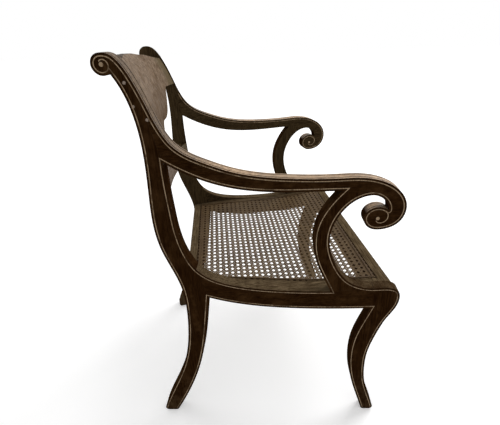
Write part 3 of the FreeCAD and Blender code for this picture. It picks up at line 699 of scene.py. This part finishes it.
def add_strand(path, lifts, width):
    """Adds one flat, slightly crowned strand that follows the path and weaves by the lifts."""
    if len(path) < 2:
        return
    first = len(strand_points)
    heading = Vector((path[-1][0] - path[0][0], path[-1][1] - path[0][1], 0.0)).normalized()
    sideways = Vector((-heading.y, heading.x, 0.0))
    count = len(STRAND_SECTION)
    for (x, y), lift in zip(path, lifts):
        centre = Vector((x, y, float(seat_height(y)) + lift))
        for across, up in STRAND_SECTION:
            strand_points.append(
                centre + sideways * (across * width) + Vector((0.0, 0.0, up * STRAND_THICKNESS)))
    for step in range(len(path) - 1):
        ring = first + step * count
        for corner in range(count):
            following = (corner + 1) % count
            strand_faces.append(
                (ring + corner, ring + following, ring + count + following, ring + count + corner))
    strand_faces.append(tuple(range(first + count - 1, first - 1, -1)))
    last = first + (len(path) - 1) * count
    strand_faces.append(tuple(range(last, last + count)))


def clipped(path, lifts):
    """Keeps the part of a path that lies on the panel, ended exactly at its edge."""
    kept = []
    was_inside = False
    for index, (point, lift) in enumerate(zip(path, lifts)):
        here = inside(point)
        if index and here != was_inside:
            low, high = np.array(path[index - 1]), np.array(point)
            for _ in range(CLIP_HALVINGS):
                middle = (low + high) / 2.0
                if inside(middle) == was_inside:
                    low = middle
                else:
                    high = middle
            kept.append((tuple(middle), lift))
        if here:
            kept.append((point, lift))
        was_inside = here
    return [point for point, _ in kept], [lift for _, lift in kept]


def crossed_path(steps, pitch, lift_at, point_at):
    """A straight strand's way over the panel: a lift at each strand it crosses, level between."""
    path = []
    lifts = []
    for step in steps:
        for crossing_side in (-1, 1):
            path.append(point_at(step * pitch + crossing_side * PAIR_HALF_GAP))
            lifts.append(lift_at(crossing_side))
        path.append(point_at((step + 0.5) * pitch))
        lifts.append(0.0)
    return clipped(path, lifts)


COLUMNS_EACH_SIDE = 18
DIAGONALS_EACH_SIDE = 36

columns = range(-COLUMNS_EACH_SIDE, COLUMNS_EACH_SIDE + 1)
rows = range(int(panel_front / PITCH_DEEP) - 1, int(panel_rear / PITCH_DEEP) + 2)

for column in columns:
    for pair_side in (-1, 1):
        x = column * PITCH_ACROSS + pair_side * PAIR_HALF_GAP
        add_strand(*crossed_path(
            rows, PITCH_DEEP,
            lambda crossing_side: WEAVE_LIFT if pair_side > 0 > crossing_side else -WEAVE_LIFT,
            lambda y: (x, y)), STRAIGHT_WIDTH)

for row in rows:
    for pair_side in (-1, 1):
        y = row * PITCH_DEEP + pair_side * PAIR_HALF_GAP
        add_strand(*crossed_path(
            columns, PITCH_ACROSS,
            lambda crossing_side: -WEAVE_LIFT if pair_side < 0 < crossing_side else WEAVE_LIFT,
            lambda x: (x, y)), STRAIGHT_WIDTH)

for lean in (-1, 1):
    for diagonal in range(-DIAGONALS_EACH_SIDE, DIAGONALS_EACH_SIDE + 1):
        path = []
        lifts = []
        for half_row in range(2 * rows[0], 2 * rows[-1] + 1):
            path.append(((lean * half_row / 2.0 + diagonal + 0.5) * PITCH_ACROSS,
                         half_row * PITCH_DEEP / 2.0))
            over_pair = (half_row % 2 == 1) == (lean > 0)
            lifts.append(DIAGONAL_LIFT if over_pair else -DIAGONAL_LIFT)
        add_strand(*clipped(path, lifts), DIAGONAL_WIDTH)

weave_mesh = bpy.data.meshes.new("cane_weave")
weave_mesh.from_pydata(strand_points, [], strand_faces)
weave_mesh.update()
weave = bpy.data.objects.new("cane_weave", weave_mesh)
bpy.context.scene.collection.objects.link(weave)

CANE_DARK = (0.042, 0.021, 0.009)
CANE_MIDDLE = (0.115, 0.074, 0.035)
CANE_LIGHT = (0.240, 0.165, 0.088)
CANE_STREAK_SCALE = 900.0
CANE_PATCH_SCALE = 16.0
CANE_AGED_SHARE = 0.45
CANE_GLOSS = 0.08
CANE_RELIEF_DEPTH = 0.0002
BINDING_DARKER = 0.35


def make_cane(name, darker):
    """Rattan skin, dulled and browned by age in patches, with faint streaks."""
    material, tree = new_material(name)
    place = object_place(tree)
    streaks = add_node(tree, "ShaderNodeTexNoise", {"Scale": CANE_STREAK_SCALE, "Detail": 3.0})
    patches = add_node(tree, "ShaderNodeTexNoise",
                       {"Scale": CANE_PATCH_SCALE, "Detail": 5.0, "Roughness": 0.65})
    for noise in (streaks, patches):
        tree.links.new(place, noise.inputs["Vector"])
    colour = add_ramp(tree, streaks.outputs["Fac"],
                      [(0.30, CANE_DARK), (0.50, CANE_MIDDLE), (0.72, CANE_LIGHT)])
    aged = add_range(tree, patches.outputs["Fac"], 0.35, 0.70)
    aged = add_math(tree, "MULTIPLY", aged, CANE_AGED_SHARE)
    colour = mix_colours(tree, aged, colour, CANE_DARK)
    colour = mix_colours(tree, darker, colour, CANE_DARK)
    shader = tree.nodes["Principled BSDF"]
    shader.inputs["Specular IOR Level"].default_value = CANE_GLOSS
    tree.links.new(colour, shader.inputs["Base Color"])
    tree.links.new(add_range(tree, streaks.outputs["Fac"], 0.3, 0.7, 0.42, 0.6),
                   shader.inputs["Roughness"])
    bump = add_node(tree, "ShaderNodeBump", {"Strength": 0.3, "Distance": CANE_RELIEF_DEPTH})
    tree.links.new(streaks.outputs["Fac"], bump.inputs["Height"])
    tree.links.new(bump.outputs["Normal"], shader.inputs["Normal"])
    return material


weave_mesh.materials.append(make_cane("woven cane", 0.0))
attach(weave, "root")
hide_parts("cane_panel")
dress("cane_binding", make_cane("binding cane", BINDING_DARKER))


# Floor
# A plain pale studio floor, laid just below the feet, which keeps the soft shadow of the chair.
# Where it is seen directly it is lifted towards white, more so far from the chair.

FLOOR_COLOUR = (0.90, 0.90, 0.90)
FLOOR_ROUGHNESS = 0.9
FLOOR_SIZE = 40.0
FLOOR_DROP = 0.0002
FLOOR_LIFT_NEAR = 0.34
FLOOR_LIFT_FAR = 0.72
LIFT_STARTS = 0.6
LIFT_ENDS = 3.5
WHITE = (1.0, 1.0, 1.0, 1.0)


def seen_directly(tree):
    """Masks camera rays, and the rays that gloss and glass send on."""
    light_path = add_node(tree, "ShaderNodeLightPath")
    sent_on = add_math(tree, "MAXIMUM", light_path.outputs["Is Glossy Ray"],
                       light_path.outputs["Is Transmission Ray"])
    return add_math(tree, "MAXIMUM", light_path.outputs["Is Camera Ray"], sent_on)


bpy.ops.mesh.primitive_plane_add(size=FLOOR_SIZE, location=(0.0, 0.0, -FLOOR_DROP))
floor = bpy.context.object
floor.name = "studio_floor"
floor_material, floor_tree = new_material("pale floor")
floor_shader = floor_tree.nodes["Principled BSDF"]
floor_shader.inputs["Base Color"].default_value = (*FLOOR_COLOUR, 1.0)
floor_shader.inputs["Roughness"].default_value = FLOOR_ROUGHNESS
floor_shader.inputs["Specular IOR Level"].default_value = 0.0
floor_shader.inputs["Emission Color"].default_value = WHITE
floor_distance = add_node(floor_tree, "ShaderNodeVectorMath", operation="LENGTH")
floor_tree.links.new(object_place(floor_tree), floor_distance.inputs[0])
floor_lift = add_range(floor_tree, floor_distance.outputs["Value"], LIFT_STARTS, LIFT_ENDS,
                       FLOOR_LIFT_NEAR, FLOOR_LIFT_FAR)
floor_tree.links.new(add_math(floor_tree, "MULTIPLY", floor_lift, seen_directly(floor_tree)),
                     floor_shader.inputs["Emission Strength"])
floor.data.materials.append(floor_material)


# Backdrop and light
# An even white surround lights the chair from all round.
# A wide soft lamp stands above and in front of it, and a weak one above and behind.

SURROUND_STRENGTH = 0.55

world = bpy.data.worlds.new("studio")
bpy.context.scene.world = world
world.use_nodes = True
sky = world.node_tree
background = sky.nodes["Background"]
background.inputs["Color"].default_value = WHITE
seen = add_range(sky, seen_directly(sky), 0.0, 1.0, SURROUND_STRENGTH, 1.0)
sky.links.new(seen, background.inputs["Strength"])


def add_lamp(name, place, target, size, power):
    """Adds a square soft lamp that faces its target."""
    data = bpy.data.lights.new(name, "AREA")
    data.shape = "SQUARE"
    data.size = size
    data.energy = power
    lamp = bpy.data.objects.new(name, data)
    bpy.context.scene.collection.objects.link(lamp)
    lamp.location = place
    lamp.rotation_euler = (Vector(target) - Vector(place)).to_track_quat("-Z", "Y").to_euler()


SEAT_MIDDLE = (0.0, 0.0, 0.45)
FRONT_LAMP_PLACE = (1.0, -1.7, 2.4)
FRONT_LAMP_SIZE = 1.6
FRONT_LAMP_WATTS = 46.0
REAR_LAMP_PLACE = (0.9, 1.6, 2.3)
REAR_LAMP_SIZE = 1.4
REAR_LAMP_WATTS = 10.0

add_lamp("front lamp", FRONT_LAMP_PLACE, SEAT_MIDDLE, FRONT_LAMP_SIZE, FRONT_LAMP_WATTS)
add_lamp("rear lamp", REAR_LAMP_PLACE, SEAT_MIDDLE, REAR_LAMP_SIZE, REAR_LAMP_WATTS)


# Camera
# It stands close beside the chair's right arm, a little above the top of the back.
# It looks down across the seat, rolled slightly to one side.

CAMERA_PLACE = (-0.847, 0.0784, 0.8874)
CAMERA_TURN = math.radians(-7.47)
CAMERA_DIP = math.radians(25.91)
CAMERA_ROLL = math.radians(-1.46)
CAMERA_LENS = 25.17
CAMERA_SENSOR_WIDTH = 36.0
CAMERA_SHIFT = (-0.0342, -0.0136)

forward = Vector((math.cos(CAMERA_DIP) * math.cos(CAMERA_TURN),
                  math.cos(CAMERA_DIP) * math.sin(CAMERA_TURN),
                  -math.sin(CAMERA_DIP)))
level_right = forward.cross(Vector((0.0, 0.0, 1.0))).normalized()
level_up = level_right.cross(forward)
camera_right = math.cos(CAMERA_ROLL) * level_right + math.sin(CAMERA_ROLL) * level_up
camera_up = math.cos(CAMERA_ROLL) * level_up - math.sin(CAMERA_ROLL) * level_right
camera_data = bpy.data.cameras.new("camera")
camera_data.sensor_width = CAMERA_SENSOR_WIDTH
camera_data.lens = CAMERA_LENS
camera_data.shift_x, camera_data.shift_y = CAMERA_SHIFT
camera = bpy.data.objects.new("camera", camera_data)
bpy.context.scene.collection.objects.link(camera)
turn = Matrix((camera_right, camera_up, -forward)).transposed()
camera.matrix_world = Matrix.Translation(CAMERA_PLACE) @ turn.to_4x4()
bpy.context.scene.camera = camera
bpy.context.scene.view_settings.view_transform = "Standard"
